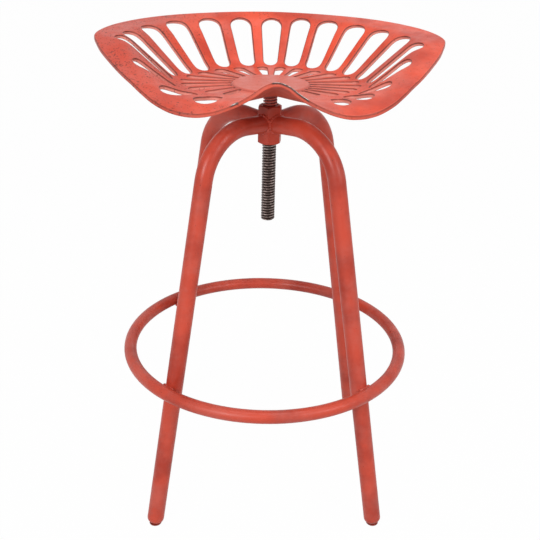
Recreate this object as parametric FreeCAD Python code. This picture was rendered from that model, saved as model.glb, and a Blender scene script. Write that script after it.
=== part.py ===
import FreeCAD
import Part
import math
import os

# Swivel stool with a cast tractor-type seat on a screw, four bent tube legs and a round foot rail.
# Millimetres, +Z up. The origin is on the floor, on the screw's axis. The sitter faces -Y.

V = FreeCAD.Vector
UP = V(0, 0, 1)

# Leg tubes
leg_od = 25.0
leg_wall = 1.8
leg_foot_radius = 235.0          # where a leg's centre line meets the floor
leg_splay_deg = 11.6             # lean of the straight part, from vertical
leg_rise_deg = 4.6               # climb of the short part that leaves the hub
leg_bend_radius = 76.0
leg_root_drop = 27.0             # leg's centre line at the hub, below the hub's top
leg_azimuths = {"front_left": 225.0, "front_right": 315.0, "rear_right": 45.0, "rear_left": 135.0}
leg_end_rounding = 8.0           # rounded closed end of the foot
leg_end_wall = 6.0
leg_end_flat_depth = 1.0         # how much of the rounded end is cut flat for the glide

# Foot glides
glide_radius = 9.0
glide_thickness = 2.5
glide_edge = 0.8

# Foot rail
ring_od = 19.0
ring_wall = 1.5
ring_height = 224.0

# Hub, a long hexagonal nut
hub_top_height = 605.0
hub_length = 55.0
hub_flats = 31.0
hub_corner_azimuth = 261.0       # one corner of the hexagon
hub_chamfer_deg = 30.0
hub_chamfer_flat = 1.5           # how far inside the flats the end faces' circle lies
hub_mouth_depth = 2.5
hub_mouth_clearance = 0.9

# Trapezoidal lifting thread, single start, right hand
screw_od = 20.0
screw_pitch = 4.0
thread_depth = 2.25
thread_crest = 1.46
thread_flank_deg = 15.0
thread_play = 0.35               # free play in the nut, radial and along the axis
screw_length = 190.0
screw_end_chamfer = 2.0
screw_shank_length = 6.0         # unthreaded top, in the weld

# Seat carrier
seat_gap = 18.0                  # carrier bar above the hub's top, as the stool stands
bar_length = 96.0
bar_width = 34.0
bar_thickness = 5.0
bar_corner = 6.0

# Welds
screw_weld_height = 4.0
screw_weld_width = 4.0
hub_weld_size = 4.0
ring_weld_radius = 7.5
bar_weld_radius = 3.5
bar_weld_length = 26.0

# Cast seat pan
pan_thickness = 5.5
disc_radius = 54.0               # flat raised disc in the middle
disc_step = 2.5                  # its height over the dish
foot_blend = 14.0                # half width of the curve from dish to wall
shoulder_blend = 14.0            # half width of the curve from wall to rim band

# Right half of the pan, heights over the disc's top. The left half mirrors it.
# Azimuth, rim radius, rim height, radius where the wall starts, shoulder radius, shoulder height
pan_stations = [
    (-90, 115, 24.5, 54, 100, 20.0),
    (-82, 120, 21.0, 56, 106, 17.0),
    (-76, 131, 13.0, 60, 116, 11.0),
    (-70, 149, 4.6, 68, 128, 6.0),
    (-64, 171, -1.7, 78, 140, 4.0),
    (-58, 185, -4.4, 90, 148, 4.5),
    (-50, 195, -2.2, 104, 156, 6.0),
    (-42, 201, 5.4, 115, 162, 8.5),
    (-34, 203, 14.2, 122, 168, 13.0),
    (-26, 206, 22.5, 127, 174, 19.5),
    (-11, 219, 36.0, 130, 189, 38.0),
    (3, 240, 49.0, 131, 203, 55.0),
    (9, 250, 55.6, 131, 205, 56.5),
    (17, 247, 60.0, 131, 202, 56.5),
    (32, 239, 62.3, 131, 194, 56.5),
    (46, 227, 64.1, 130, 187, 57.0),
    (61, 210, 66.0, 130, 180, 57.5),
    (75, 200, 67.3, 129, 176, 57.5),
    (90, 196, 68.0, 129, 175, 57.5),
]
AZIMUTH, RIM_R, RIM_Z, FOOT_R, SHOULDER_R, SHOULDER_Z = range(6)

# Slots in the wall fan out from a point in front of the screw.
# Azimuth and radius of the inner end, azimuth and radius of the outer end, both widths
fan_centre_y = -20.0
wall_slots = [
    (89, 124, 88.5, 181, 21, 30), (77, 124, 75, 185.5, 23, 30), (64, 125, 62.5, 190, 24, 32),
    (51.5, 126, 49, 195.5, 24, 33), (38, 128, 36, 201, 24, 33), (24, 129, 22, 207, 23, 33),
    (9, 135, 10, 211, 21, 26), (-5, 137, -0.5, 189.5, 21, 30), (-14, 129, -21, 173, 22, 31),
    (-22, 118, -37.5, 167, 19, 26), (-38.5, 119, -51, 158, 16, 22),
    (102, 123, 103, 183.5, 23.5, 32), (117, 125, 117.5, 191, 24, 34), (132, 124, 133, 203, 24, 34),
    (146.5, 127.5, 147, 209.5, 23, 31), (160.5, 135, 160.5, 213.5, 21, 28), (171, 137, 167.5, 217, 17, 20),
    (186, 134, 184, 188, 20, 26), (201, 119, 212.5, 176, 24, 36), (218, 106, 231, 160, 22, 29),
]
# Inner slots: azimuths of the inner and the outer end, radius of the outer end, both widths
inner_slots = [
    (81, 81, 118, 7, 15), (67, 67, 118, 7, 15.5), (53.5, 51.5, 118, 7, 16.5), (41, 37.5, 121.5, 7, 18),
    (29.5, 23.5, 126, 7, 18), (17.5, 9, 127, 7, 15.5), (4, -1.8, 126, 6.5, 13.5), (-9, -11.5, 120, 6.5, 13),
    (-20, -21.5, 113, 6.5, 13), (-30, -33, 105, 6.5, 14.5), (-40, -43, 86, 6, 9),
    (95, 95, 118, 7, 15), (110.5, 114, 118, 7, 16.5), (127, 129.5, 121, 7, 18), (139.5, 146.5, 123, 7, 18),
    (150, 160.5, 126, 6.5, 16), (161.5, 173, 127, 6.5, 14.5), (174, 184, 124, 7, 15),
    (188, 196.5, 117, 7, 15), (204, 211.5, 102, 7, 14), (218.5, 226, 89, 6.5, 12),
]
inner_slot_start = 1.0           # inner end, outside the disc

# Sampling of the pan's two skins
grid_step = 13.0
skin_margin = 26.0

# Sizes and places that follow from the values above
leg_r = leg_od / 2
ring_r = ring_od / 2
screw_r = screw_od / 2
splay = math.radians(leg_splay_deg)
rise = math.radians(leg_rise_deg)
hub_bottom_height = hub_top_height - hub_length
hub_corner_r = hub_flats / 2 / math.cos(math.pi / 6)
leg_root_height = hub_top_height - leg_root_drop
bar_bottom = hub_top_height + seat_gap
bar_top = bar_bottom + bar_thickness
seat_datum = bar_top + pan_thickness + disc_step
screw_bottom = bar_bottom - screw_length


def polar(radius, azimuth_deg, height=0.0):
    """Point at a radius and azimuth about the screw's axis."""
    a = math.radians(azimuth_deg)
    return V(radius * math.cos(a), radius * math.sin(a), height)


def turned(shape, azimuth_deg):
    """Copy of a shape, turned about the screw's axis."""
    copy = shape.copy()
    copy.rotate(V(0, 0, 0), UP, azimuth_deg)
    return copy


def hexagonal_bar(flats, bottom, top):
    """Plain hexagonal prism about the screw's axis, in the hub's own turn."""
    corner_r = flats / 2 / math.cos(math.pi / 6)
    points = [polar(corner_r, hub_corner_azimuth + 60 * i, bottom) for i in range(7)]
    return Part.Face(Part.makePolygon(points)).extrude(V(0, 0, top - bottom))


def leg_points():
    """Centre line of a leg in its own radial plane: root, both ends of the bend, its middle, the foot."""
    out = V(math.cos(rise), 0, math.sin(rise))
    down = V(math.sin(splay), 0, -math.cos(splay))
    root = V(0, 0, leg_root_height)
    foot = V(leg_foot_radius, 0, 0)
    cross = out.x * down.z - out.z * down.x
    reach = ((foot.x - root.x) * down.z - (foot.z - root.z) * down.x) / cross
    corner = root + out * reach
    turn = out.getAngle(down)
    cut_back = leg_bend_radius * math.tan(turn / 2)
    bend_start = corner - out * cut_back
    bend_end = corner + down * cut_back
    inward = (down - out).normalize()
    centre = corner + inward * (leg_bend_radius / math.cos(turn / 2))
    bend_middle = centre - inward * leg_bend_radius
    return root, bend_start, bend_middle, bend_end, foot, down


def leg_rod(radius, start, end):
    """Round bar along a leg's centre line, between a point near the root and one near the foot."""
    root, bend_start, bend_middle, bend_end, foot, down = leg_points()
    path = Part.Wire([
        Part.LineSegment(start, bend_start).toShape(),
        Part.Arc(bend_start, bend_middle, bend_end).toShape(),
        Part.LineSegment(bend_end, end).toShape(),
    ])
    section = Part.Wire(Part.makeCircle(radius, start, (bend_start - start).normalize()))
    return path.makePipeShell([section], True, False)


def leg_sector():
    """Quarter of the space round the hub, so that neighbouring legs meet face to face."""
    reach = leg_foot_radius * 2
    points = [V(0, 0, 0), polar(reach, -45), polar(reach, 45), V(0, 0, 0)]
    return Part.Face(Part.makePolygon(points)).extrude(V(0, 0, hub_top_height * 2))


def make_leg():
    """One leg along +X: bent tube, coped to the hub, with a rounded closed foot cut flat for its glide."""
    root, bend_start, bend_middle, bend_end, foot, down = leg_points()
    flat_r = leg_r - leg_end_rounding
    end_height = glide_thickness - leg_end_flat_depth
    end_height += leg_end_rounding * (1 - math.cos(splay)) + flat_r * math.sin(splay)
    end = foot - down * (end_height / math.cos(splay))
    outer = leg_rod(leg_r, root, end)
    end_edges = [e for e in outer.Edges if (e.CenterOfMass - end).Length < 0.01 and len(e.Vertexes) < 3]
    outer = outer.makeFillet(leg_end_rounding, end_edges)
    bore = leg_rod(leg_r - leg_wall, root, end - down * leg_end_wall)
    floor_cut = Part.makeBox(leg_foot_radius * 4, leg_foot_radius * 4, leg_foot_radius)
    floor_cut.translate(V(-leg_foot_radius * 2, -leg_foot_radius * 2, glide_thickness - leg_foot_radius))
    tube = outer.cut(bore).cut(floor_cut)
    return tube.common(leg_sector())


def foot_centre_radius():
    """Radius at which the middle of a foot's flat lies."""
    return leg_foot_radius - glide_thickness * math.tan(splay) - leg_end_rounding * math.sin(splay) / 2


def make_glide():
    """Round pad under a foot, along +X."""
    pad = Part.makeCylinder(glide_radius, glide_thickness, V(foot_centre_radius(), 0, 0), UP)
    rims = [e for e in pad.Edges if e.Closed and abs(e.CenterOfMass.z) < 0.01]
    return pad.makeChamfer(glide_edge, rims)


def ring_centre_radius():
    """Radius of the foot rail's centre line, which touches the outside of every leg."""
    leg_radius_there = leg_foot_radius - ring_height * math.tan(splay)
    return leg_radius_there + (leg_r + ring_r) / math.cos(splay)


def make_ring():
    """Foot rail, a closed ring of tube."""
    centre_r = ring_centre_radius()
    outer = Part.makeTorus(centre_r, ring_r, V(0, 0, ring_height), UP)
    return outer.cut(Part.makeTorus(centre_r, ring_r - ring_wall, V(0, 0, ring_height), UP))


def make_ring_weld():
    """Bead in the crevice where a leg touches the foot rail, along +X."""
    contact = V(ring_centre_radius() - ring_r * math.cos(splay), 0, ring_height - ring_r * math.sin(splay))
    bead = Part.makeSphere(ring_weld_radius, contact)
    root, bend_start, bend_middle, bend_end, foot, down = leg_points()
    leg = leg_rod(leg_r, root, foot)
    ring = Part.makeTorus(ring_centre_radius(), ring_r, V(0, 0, ring_height), UP)
    return bead.cut(leg).cut(ring)


def make_hub_weld(azimuth_deg):
    """Bead round a leg's root, in the corner between the tube and the hub, built in place."""
    root, bend_start, bend_middle, bend_end, foot, down = leg_points()
    out = V(math.cos(rise), 0, math.sin(rise))
    inner = hub_flats / 2 - 2 * hub_weld_size
    length = hub_corner_r + hub_weld_size - inner
    wide = leg_r + length
    bead = Part.makeCone(wide, leg_r, length, root + out * (inner / math.cos(rise)), out)
    leg = leg_rod(leg_r, root, foot)
    bead = turned(bead.cut(leg).common(leg_sector()), azimuth_deg)
    reach = hub_corner_r + hub_weld_size
    envelope = Part.makeCylinder(reach, hub_length, V(0, 0, hub_bottom_height), UP)
    return bead.common(envelope).cut(hexagonal_bar(hub_flats, hub_bottom_height, hub_top_height))


def threaded_bar(play, bottom, top):
    """Bar with the lifting thread. Play widens it into the shape of the nut's hollow.

    Each turn is four ruled strips between helices: root, flank, crest, flank.
    A helicoid down to the axis and a flat close either end, and the caller trims them off.
    """
    minor_r = screw_r - thread_depth + play
    major_r = screw_r + play
    lean = math.tan(math.radians(thread_flank_deg))
    crest_half = thread_crest / 2 + play * (1 - lean)
    foot_half = crest_half + thread_depth * lean
    turns = int(math.ceil((top - bottom) / screw_pitch)) + 3
    start = math.floor(bottom / screw_pitch) * screw_pitch - screw_pitch
    rows = [
        (minor_r, foot_half),
        (minor_r, screw_pitch - foot_half),
        (major_r, screw_pitch - crest_half),
        (major_r, screw_pitch + crest_half),
        (minor_r, screw_pitch + foot_half),
    ]

    def helix(radius, height):
        if radius == 0:
            return Part.makeLine(V(0, 0, height), V(0, 0, height + screw_pitch))
        edge = Part.makeHelix(screw_pitch, screw_pitch, radius).Edges[0]
        edge.translate(V(0, 0, height))
        return edge

    faces = []
    for turn in range(turns):
        base = start + turn * screw_pitch
        edges = [helix(r, base + z) for r, z in rows]
        faces += [Part.makeRuledSurface(a, b) for a, b in zip(edges, edges[1:])]
    for base in (start, start + turns * screw_pitch):
        r, z = rows[0]
        faces.append(Part.makeRuledSurface(helix(0, base + z), helix(r, base + z)))
        profile = [V(r, 0, base + z) for r, z in rows]
        flat = [V(0, 0, base + rows[0][1])] + profile + [V(0, 0, base + rows[-1][1])]
        faces.append(Part.Face(Part.makePolygon(flat + flat[:1])))
    shell = Part.Shell(faces)
    shell.sewShape()
    solid = Part.Solid(shell)
    if solid.Volume < 0:
        solid.reverse()
    return solid


def make_screw():
    """Lifting screw with a chamfered lower end and a plain top that the carrier's weld holds."""
    minor_r = screw_r - thread_depth
    thread_top = bar_bottom - screw_shank_length
    cone_height = screw_end_chamfer
    tip = Part.makeCone(screw_r + 0.5 - cone_height, screw_r + 0.5, cone_height, V(0, 0, screw_bottom), UP)
    body = Part.makeCylinder(screw_r + 0.5, thread_top - screw_bottom - cone_height,
                             V(0, 0, screw_bottom + cone_height), UP)
    threaded = threaded_bar(0.0, screw_bottom, thread_top).common(tip.fuse(body))
    shank = Part.makeCylinder(minor_r + 1.0, screw_shank_length, V(0, 0, thread_top), UP)
    return threaded.fuse(shank)


def make_hub():
    """Long hexagonal nut with chamfered ends and the lifting thread through it."""
    body = hexagonal_bar(hub_flats, hub_bottom_height, hub_top_height)
    face_r = hub_flats / 2 - hub_chamfer_flat
    drop = (hub_corner_r + 1 - face_r) * math.tan(math.radians(hub_chamfer_deg))
    lower = Part.makeCone(face_r, hub_corner_r + 1, drop, V(0, 0, hub_bottom_height), UP)
    upper = Part.makeCone(hub_corner_r + 1, face_r, drop, V(0, 0, hub_top_height - drop), UP)
    middle = Part.makeCylinder(hub_corner_r + 1, hub_length - 2 * drop, V(0, 0, hub_bottom_height + drop), UP)
    body = body.common(middle.fuse(lower).fuse(upper))
    mouth_r = screw_r + hub_mouth_clearance
    hollow = threaded_bar(thread_play, hub_bottom_height, hub_top_height)
    for height in (hub_bottom_height, hub_top_height - hub_mouth_depth):
        hollow_mouth = Part.makeCylinder(mouth_r, hub_mouth_depth, V(0, 0, height), UP)
        body = body.cut(hollow_mouth)
    return body.cut(hollow)


def make_bar():
    """Flat bar across the underside of the seat, which the screw is welded to."""
    bar = Part.makeBox(bar_length, bar_width, bar_thickness, V(-bar_length / 2, -bar_width / 2, bar_bottom))
    uprights = [e for e in bar.Edges if e.Length == bar_thickness or abs(e.tangentAt(e.FirstParameter).z) > 0.9]
    return bar.makeFillet(bar_corner, uprights)


def make_screw_weld():
    """Bead round the top of the screw, against the bar."""
    shank_r = screw_r - thread_depth + 1.0
    bottom = bar_bottom - screw_weld_height
    bead = Part.makeCone(screw_r - 0.5, screw_r + screw_weld_width, screw_weld_height, V(0, 0, bottom), UP)
    return bead.cut(Part.makeCylinder(shank_r, screw_weld_height, V(0, 0, bottom), UP))


def make_bar_welds():
    """A bead along either end of the bar, in the corner under the pan."""
    dish_underside = seat_datum - disc_step - pan_thickness
    beads = []
    for side in (-1, 1):
        x = side * bar_length / 2
        bead = Part.makeCylinder(bar_weld_radius, bar_weld_length, V(x, -bar_weld_length / 2, bar_top), V(0, 1, 0))
        keep = Part.makeBox(bar_weld_radius, bar_weld_length, bar_weld_radius,
                            V(min(x, x + side * bar_weld_radius), -bar_weld_length / 2,
                              dish_underside - bar_weld_radius))
        beads.append(bead.common(keep))
    return Part.makeCompound(beads)


def station_value(column, azimuth_deg):
    """Smooth value between the pan's stations at an azimuth on either side."""
    a = (azimuth_deg + 180) % 360 - 180
    if a > 90:
        a = 180 - a
    if a < -90:
        a = -180 - a
    last = len(pan_stations) - 1
    i = 0
    while i < last - 1 and pan_stations[i + 1][AZIMUTH] <= a:
        i += 1

    def slope(k):
        if k in (0, last):
            return 0.0
        before, after = pan_stations[k - 1], pan_stations[k + 1]
        return (after[column] - before[column]) / (after[AZIMUTH] - before[AZIMUTH])

    low, high = pan_stations[i], pan_stations[i + 1]
    step = high[AZIMUTH] - low[AZIMUTH]
    t = (a - low[AZIMUTH]) / step
    value = (2 * t ** 3 - 3 * t ** 2 + 1) * low[column] + (3 * t ** 2 - 2 * t ** 3) * high[column]
    return value + step * ((t ** 3 - 2 * t ** 2 + t) * slope(i) + (t ** 3 - t ** 2) * slope(i + 1))


def ramp(distance, blend):
    """Zero, then a slope of one, with a curve of the given half width between them."""
    if distance <= -blend:
        return 0.0
    if distance >= blend:
        return distance
    return (distance + blend) ** 2 / (4 * blend)


def wall_slopes(azimuth_deg):
    """Slopes of the pan's wall and of its rim band at an azimuth."""
    foot, shoulder, rim = [station_value(c, azimuth_deg) for c in (FOOT_R, SHOULDER_R, RIM_R)]
    shoulder_z, rim_z = [station_value(c, azimuth_deg) for c in (SHOULDER_Z, RIM_Z)]
    return (shoulder_z + disc_step) / (shoulder - foot), (rim_z - shoulder_z) / (rim - shoulder)


def pan_height(x, y):
    """Height of the pan's upper skin, over the disc's top."""
    azimuth_deg = math.degrees(math.atan2(y, x))
    wall, band = wall_slopes(azimuth_deg)
    radius = min(math.hypot(x, y), station_value(RIM_R, azimuth_deg) + skin_margin)
    foot, shoulder = station_value(FOOT_R, azimuth_deg), station_value(SHOULDER_R, azimuth_deg)
    fade = min(1.0, math.hypot(x, y) / disc_radius)
    climb = wall * ramp(radius - foot, foot_blend) + (band - wall) * ramp(radius - shoulder, shoulder_blend)
    return climb * fade - disc_step


def skin_point(x, y, depth):
    """Point at a depth below the upper skin, square to it."""
    e = 0.5
    slope_x = (pan_height(x + e, y) - pan_height(x - e, y)) / (2 * e)
    slope_y = (pan_height(x, y + e) - pan_height(x, y - e)) / (2 * e)
    normal = V(-slope_x, -slope_y, 1).normalize()
    return V(x, y, seat_datum + pan_height(x, y)) - normal * depth


def pan_slab():
    """Closed slab between the pan's two skins, wider than the seat."""
    outline = [polar(station_value(RIM_R, a), a) for a in range(-90, 270, 3)]
    low_x, high_x = min(p.x for p in outline) - skin_margin, max(p.x for p in outline) + skin_margin
    low_y, high_y = min(p.y for p in outline) - skin_margin, max(p.y for p in outline) + skin_margin
    columns = int((high_x - low_x) / grid_step) + 1
    rows = int((high_y - low_y) / grid_step) + 1
    skins = []
    for depth in (0.0, pan_thickness):
        grid = []
        for i in range(columns + 1):
            x = low_x + (high_x - low_x) * i / columns
            grid.append([skin_point(x, low_y + (high_y - low_y) * j / rows, depth) for j in range(rows + 1)])
        surface = Part.BSplineSurface()
        surface.interpolate(grid)
        skins.append(surface.toShape())
    top, bottom = skins
    sides = [Part.makeRuledSurface(a, b) for a, b in zip(top.Edges, bottom.Edges)]
    shell = Part.Shell([top, bottom] + sides)
    shell.sewShape()
    solid = Part.Solid(shell)
    if solid.Volume < 0:
        solid.reverse()
    return solid


def rim_prism():
    """Upright prism over the seat's outline."""
    azimuths = [s[AZIMUTH] for s in pan_stations] + [180 - s[AZIMUTH] for s in pan_stations[-2:0:-1]]
    low, high = seat_datum - 60.0, seat_datum + 120.0
    curve = Part.BSplineCurve()
    curve.interpolate(Points=[polar(station_value(RIM_R, a), a, low) for a in azimuths], PeriodicFlag=True)
    return Part.Face(Part.Wire(curve.toShape())).extrude(V(0, 0, high - low))


def tapered_slot(length, start_width, end_width):
    """Flat slot along +X from the origin, with round ends, as a face."""
    r0, r1 = start_width / 2, end_width / 2
    c0, c1 = r0, length - r1
    lean = math.acos((r0 - r1) / (c1 - c0))
    across, along = math.sin(lean), math.cos(lean)
    a = V(c0 + r0 * along, r0 * across, 0)
    b = V(c1 + r1 * along, r1 * across, 0)
    c = V(b.x, -b.y, 0)
    d = V(a.x, -a.y, 0)
    return Part.Face(Part.Wire([
        Part.LineSegment(a, b).toShape(),
        Part.Arc(b, V(length, 0, 0), c).toShape(),
        Part.LineSegment(c, d).toShape(),
        Part.Arc(d, V(0, 0, 0), a).toShape(),
    ]))


def slot_cutter(start, end, start_width, end_width):
    """Tool for a slot between two points on the upper skin, cut square to the skin between them."""
    run = end - start
    face = tapered_slot(run.Length, start_width, end_width)
    depth = 3 * pan_thickness
    tool = face.extrude(V(0, 0, 2 * depth))
    tool.translate(V(0, 0, -depth))
    heading = math.degrees(math.atan2(run.y, run.x))
    climb = math.degrees(math.asin(run.z / run.Length))
    tool.rotate(V(0, 0, 0), V(0, 1, 0), -climb)
    tool.rotate(V(0, 0, 0), UP, heading)
    tool.translate(start)
    return tool


def on_pan(x, y):
    """Point of the upper skin."""
    return V(x, y, seat_datum + pan_height(x, y))


def fan_point(azimuth_deg, radius):
    """Point on a ray of the slots' fan, at a radius from the screw's axis."""
    a = math.radians(azimuth_deg)
    along = -fan_centre_y * math.sin(a)
    distance = along + math.sqrt(along ** 2 + radius ** 2 - fan_centre_y ** 2)
    return on_pan(distance * math.cos(a), fan_centre_y + distance * math.sin(a))


def wall_slot_cutters():
    """Long slots up the wall of the pan, wider at the rim."""
    tools = []
    for inner_azimuth, inner_radius, outer_azimuth, outer_radius, inner_width, outer_width in wall_slots:
        start = fan_point(inner_azimuth, inner_radius)
        end = fan_point(outer_azimuth, outer_radius)
        tools.append(slot_cutter(start, end, inner_width, outer_width))
    return tools


def inner_slot_cutters():
    """Narrow slots round the raised disc."""
    tools = []
    for inner_azimuth, outer_azimuth, outer_radius, inner_width, outer_width in inner_slots:
        start = polar(disc_radius + inner_slot_start, inner_azimuth)
        end = polar(outer_radius, outer_azimuth)
        tools.append(slot_cutter(on_pan(start.x, start.y), on_pan(end.x, end.y), inner_width, outer_width))
    return tools


def make_seat():
    """Cast seat pan with its raised disc and all its slots."""
    pan = pan_slab().common(rim_prism())
    disc_bottom = seat_datum - disc_step - pan_thickness / 2
    pan = pan.fuse(Part.makeCylinder(disc_radius, seat_datum - disc_bottom, V(0, 0, disc_bottom), UP))
    return pan.cut(wall_slot_cutters() + inner_slot_cutters())


def main():
    """Build every piece and write it to its own file."""
    os.makedirs("parts", exist_ok=True)
    pieces = {
        "seat_pan": make_seat(),
        "seat_bar": make_bar(),
        "seat_bar_welds": make_bar_welds(),
        "screw_weld": make_screw_weld(),
        "lift_screw": make_screw(),
        "hub_nut": make_hub(),
        "foot_ring": make_ring(),
    }
    leg, glide, ring_weld = make_leg(), make_glide(), make_ring_weld()
    for name, azimuth in leg_azimuths.items():
        pieces["leg_" + name] = turned(leg, azimuth).cut(
            hexagonal_bar(hub_flats, hub_bottom_height, hub_top_height))
        pieces["glide_" + name] = turned(glide, azimuth)
        pieces["ring_weld_" + name] = turned(ring_weld, azimuth)
        pieces["hub_weld_" + name] = make_hub_weld(azimuth)
    for name, shape in pieces.items():
        print(name, shape.isValid(), len(shape.Solids), round(shape.Volume), round(shape.BoundBox.ZMin, 2),
              round(shape.BoundBox.ZMax, 2))
        shape.exportStep(os.path.join("parts", name + ".step"))


main()
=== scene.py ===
import logging
import math
from dataclasses import dataclass, field
from enum import Enum
from typing import Dict, List, Sequence, Tuple

import bpy
import numpy as np
from mathutils import Matrix, Vector
from mathutils.geometry import delaunay_2d_cdt


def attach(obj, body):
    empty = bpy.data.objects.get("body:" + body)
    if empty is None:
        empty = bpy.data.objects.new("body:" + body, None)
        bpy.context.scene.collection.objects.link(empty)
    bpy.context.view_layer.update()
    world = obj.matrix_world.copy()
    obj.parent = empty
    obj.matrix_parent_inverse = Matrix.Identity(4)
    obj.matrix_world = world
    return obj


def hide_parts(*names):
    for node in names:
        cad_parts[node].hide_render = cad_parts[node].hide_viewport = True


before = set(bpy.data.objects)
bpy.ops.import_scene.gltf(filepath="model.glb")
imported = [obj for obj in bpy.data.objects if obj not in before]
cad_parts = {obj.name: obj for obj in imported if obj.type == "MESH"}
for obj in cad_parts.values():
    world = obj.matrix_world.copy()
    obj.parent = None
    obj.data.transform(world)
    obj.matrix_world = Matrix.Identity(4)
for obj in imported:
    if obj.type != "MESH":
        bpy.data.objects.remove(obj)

log = logging.getLogger("stool")

Colour = Tuple[float, float, float]
Place = Tuple[float, float, float]


class Body(Enum):
    """Rigid bodies of the stool."""

    STAND = "stand"
    COLLAR = "screw_collar"
    SEAT = "seat"


class Slot(Enum):
    """Names of the finish slots."""

    SEAT = "seat_paint"
    FRAME = "frame_paint"


# Shader helpers


class ShaderTree:
    """Small builder for one material's node tree."""

    def __init__(self, name: str) -> None:
        """Start an empty material.

        Args:
            name: The material's name.
        """
        self.material = bpy.data.materials.new(name)
        self.material.use_nodes = True
        self.tree = self.material.node_tree
        self.tree.nodes.clear()
        self.out = self.tree.nodes.new("ShaderNodeOutputMaterial")
        self.coord = self.tree.nodes.new("ShaderNodeTexCoord").outputs["Object"]

    def node(self, kind: str, **settings: object) -> bpy.types.Node:
        """Add a node and set its plain properties.

        Args:
            kind: The node's type name.
            **settings: Properties to set on it.

        Returns:
            The new node.
        """
        new = self.tree.nodes.new(kind)
        for key, value in settings.items():
            setattr(new, key, value)
        return new

    def feed(self, socket: bpy.types.NodeSocket, value: object) -> None:
        """Link a socket to another, or set its value.

        Args:
            socket: The input to feed.
            value: Another socket, a number or a colour.
        """
        if isinstance(value, bpy.types.NodeSocket):
            self.tree.links.new(value, socket)
        elif isinstance(value, tuple) and len(value) == 3 and socket.type == "RGBA":
            socket.default_value = (*value, 1.0)
        else:
            socket.default_value = value

    def noise(self, scale: float, detail: float = 3.0, roughness: float = 0.5,
              stretch: Tuple[float, float, float] = (1, 1, 1), shift: float = 0.0) -> bpy.types.NodeSocket:
        """Noise on Object coordinates.

        Args:
            scale: Features per metre.
            detail: Octaves.
            roughness: Weight of the finer octaves.
            stretch: Scale of the coordinates along each axis.
            shift: Offset of the coordinates, for a different pattern.

        Returns:
            The noise's value socket.
        """
        place = self.node("ShaderNodeMapping")
        self.feed(place.inputs["Vector"], self.coord)
        place.inputs["Scale"].default_value = stretch
        place.inputs["Location"].default_value = (shift, shift * 0.7, shift * 1.3)
        tex = self.node("ShaderNodeTexNoise")
        self.feed(tex.inputs["Vector"], place.outputs[0])
        tex.inputs["Scale"].default_value = scale
        tex.inputs["Detail"].default_value = detail
        tex.inputs["Roughness"].default_value = roughness
        return tex.outputs[0]

    def step(self, value: object, low: float, high: float, to_low: float = 0.0,
             to_high: float = 1.0) -> bpy.types.NodeSocket:
        """Map a value smoothly between two limits.

        Args:
            value: Socket or number to map.
            low: Value where the ramp starts.
            high: Value where the ramp ends.
            to_low: Result at the start.
            to_high: Result at the end.

        Returns:
            The mapped value's socket.
        """
        ramp = self.node("ShaderNodeMapRange", interpolation_type="SMOOTHSTEP")
        for key, number in (("From Min", low), ("From Max", high), ("To Min", to_low), ("To Max", to_high)):
            ramp.inputs[key].default_value = number
        self.feed(ramp.inputs["Value"], value)
        return ramp.outputs[0]

    def math(self, operation: str, a: object, b: object = 0.0) -> bpy.types.NodeSocket:
        """Combine two values.

        Args:
            operation: Name of the math node's operation.
            a: First value.
            b: Second value.

        Returns:
            The result's socket.
        """
        new = self.node("ShaderNodeMath", operation=operation)
        self.feed(new.inputs[0], a)
        self.feed(new.inputs[1], b)
        return new.outputs[0]

    def mix(self, amount: object, a: object, b: object) -> bpy.types.NodeSocket:
        """Mix two colours.

        Args:
            amount: Share of the second colour.
            a: First colour.
            b: Second colour.

        Returns:
            The mixed colour's socket.
        """
        new = self.node("ShaderNodeMix", data_type="RGBA")
        self.feed(new.inputs[0], amount)
        self.feed(new.inputs[6], a)
        self.feed(new.inputs[7], b)
        return new.outputs[2]

    def attribute(self, name: str) -> bpy.types.NodeSocket:
        """Value of a mesh attribute, zero where the mesh has none."""
        return self.node("ShaderNodeAttribute", attribute_name=name).outputs["Fac"]

    def axis(self, index: int) -> bpy.types.NodeSocket:
        """One of the Object coordinates.

        Args:
            index: 0, 1 or 2 for X, Y or Z.

        Returns:
            Its socket, in metres.
        """
        split = self.node("ShaderNodeSeparateXYZ")
        self.feed(split.inputs[0], self.coord)
        return split.outputs[index]

    def distance_to_axis(self) -> bpy.types.NodeSocket:
        """Distance from the screw's axis.

        Returns:
            Its socket, in metres.
        """
        flat = self.node("ShaderNodeVectorMath", operation="MULTIPLY")
        self.feed(flat.inputs[0], self.coord)
        flat.inputs[1].default_value = (1, 1, 0)
        length = self.node("ShaderNodeVectorMath", operation="LENGTH")
        self.feed(length.inputs[0], flat.outputs[0])
        return length.outputs["Value"]

    def bump(self, shader: bpy.types.Node, height: object, strength: float, depth: float) -> None:
        """Drive a shader's normal with a height.

        Args:
            shader: The shader.
            height: Socket of the height, from 0 to 1.
            strength: How much of the bump shows.
            depth: Metres between the heights 0 and 1.
        """
        bump = self.node("ShaderNodeBump")
        bump.inputs["Strength"].default_value = strength
        bump.inputs["Distance"].default_value = depth
        self.feed(bump.inputs["Height"], height)
        self.feed(shader.inputs["Normal"], bump.outputs[0])

    def finish(self, shader: bpy.types.Node) -> bpy.types.Material:
        """Link a shader to the output and return the material."""
        self.tree.links.new(shader.outputs[0], self.out.inputs["Surface"])
        return self.material


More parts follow.
